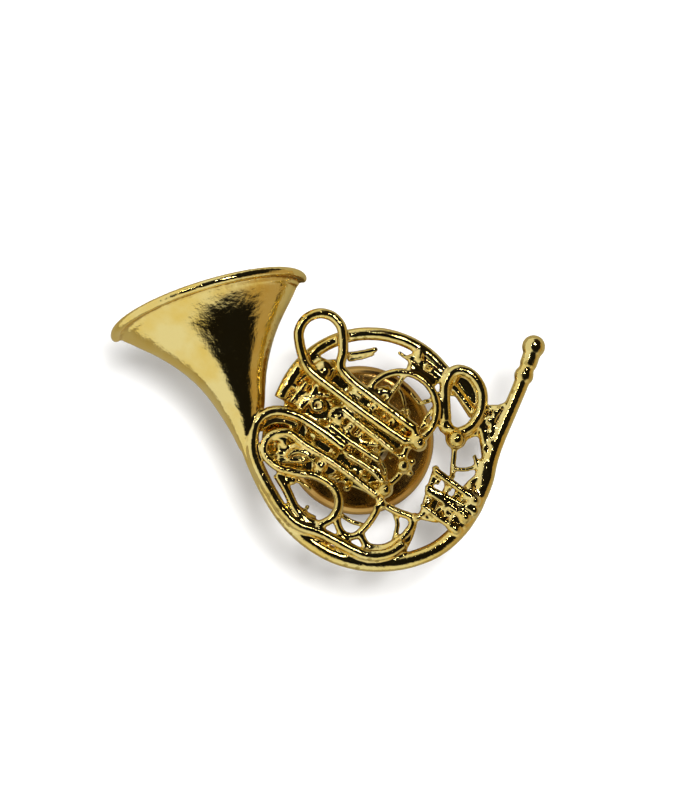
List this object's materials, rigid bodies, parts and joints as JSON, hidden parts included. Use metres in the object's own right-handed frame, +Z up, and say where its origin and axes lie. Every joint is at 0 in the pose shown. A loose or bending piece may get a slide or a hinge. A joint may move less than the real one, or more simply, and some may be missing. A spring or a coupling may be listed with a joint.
{
  "type": "lapel pin",
  "caption": "French horn lapel pin: an openwork cast horn on a tack post, held behind the cloth by a round butterfly clutch with two pinch wings",
  "frame": {"origin": "on the post's axis, where the shaft leaves its pad", "axes": "+Z up as worn, the horn's face looks along -Y, the post runs along +Y, +X toward the mouthpiece"},
  "size_m": [0.0327, 0.0144, 0.0229],
  "materials": {
    "gold_plate": "bright gold plate over a cast body, polished by tumbling, fine cast grain left in the bell",
    "post_metal": "gold plated drawn wire and stamped pad",
    "solder": "braze, plated over, slightly rough",
    "clutch_brass": "stamped sheet brass, bright rolled, slightly tarnished"
  },
  "bodies": {
    "pin": {"horn_casting": "gold_plate", "post_pad": "post_metal", "tack_post": "post_metal", "solder_fillet": "solder"},
    "clutch": {"clutch_cup": "clutch_brass", "clutch_plate": "clutch_brass"},
    "wing_l": {"wing_left": "clutch_brass"},
    "wing_r": {"wing_right": "clutch_brass"}
  },
  "joints": [
    {"name": "clutch_slide", "type": "slide", "parent": "pin", "child": "clutch", "axis": [0, 1, 0], "range_m": [0, 0.012]},
    {"name": "wing_left_pinch", "type": "hinge", "parent": "clutch", "child": "wing_l", "pos_m": [-0.0026, 0.0059, 0], "axis": [0, 0, -1], "range_deg": [0, 8], "stiffness_Nm_per_rad": 0.03},
    {"name": "wing_right_pinch", "type": "hinge", "parent": "clutch", "child": "wing_r", "pos_m": [0.0026, 0.0059, 0], "axis": [0, 0, 1], "range_deg": [0, 8], "stiffness_Nm_per_rad": 0.03}
  ]
}
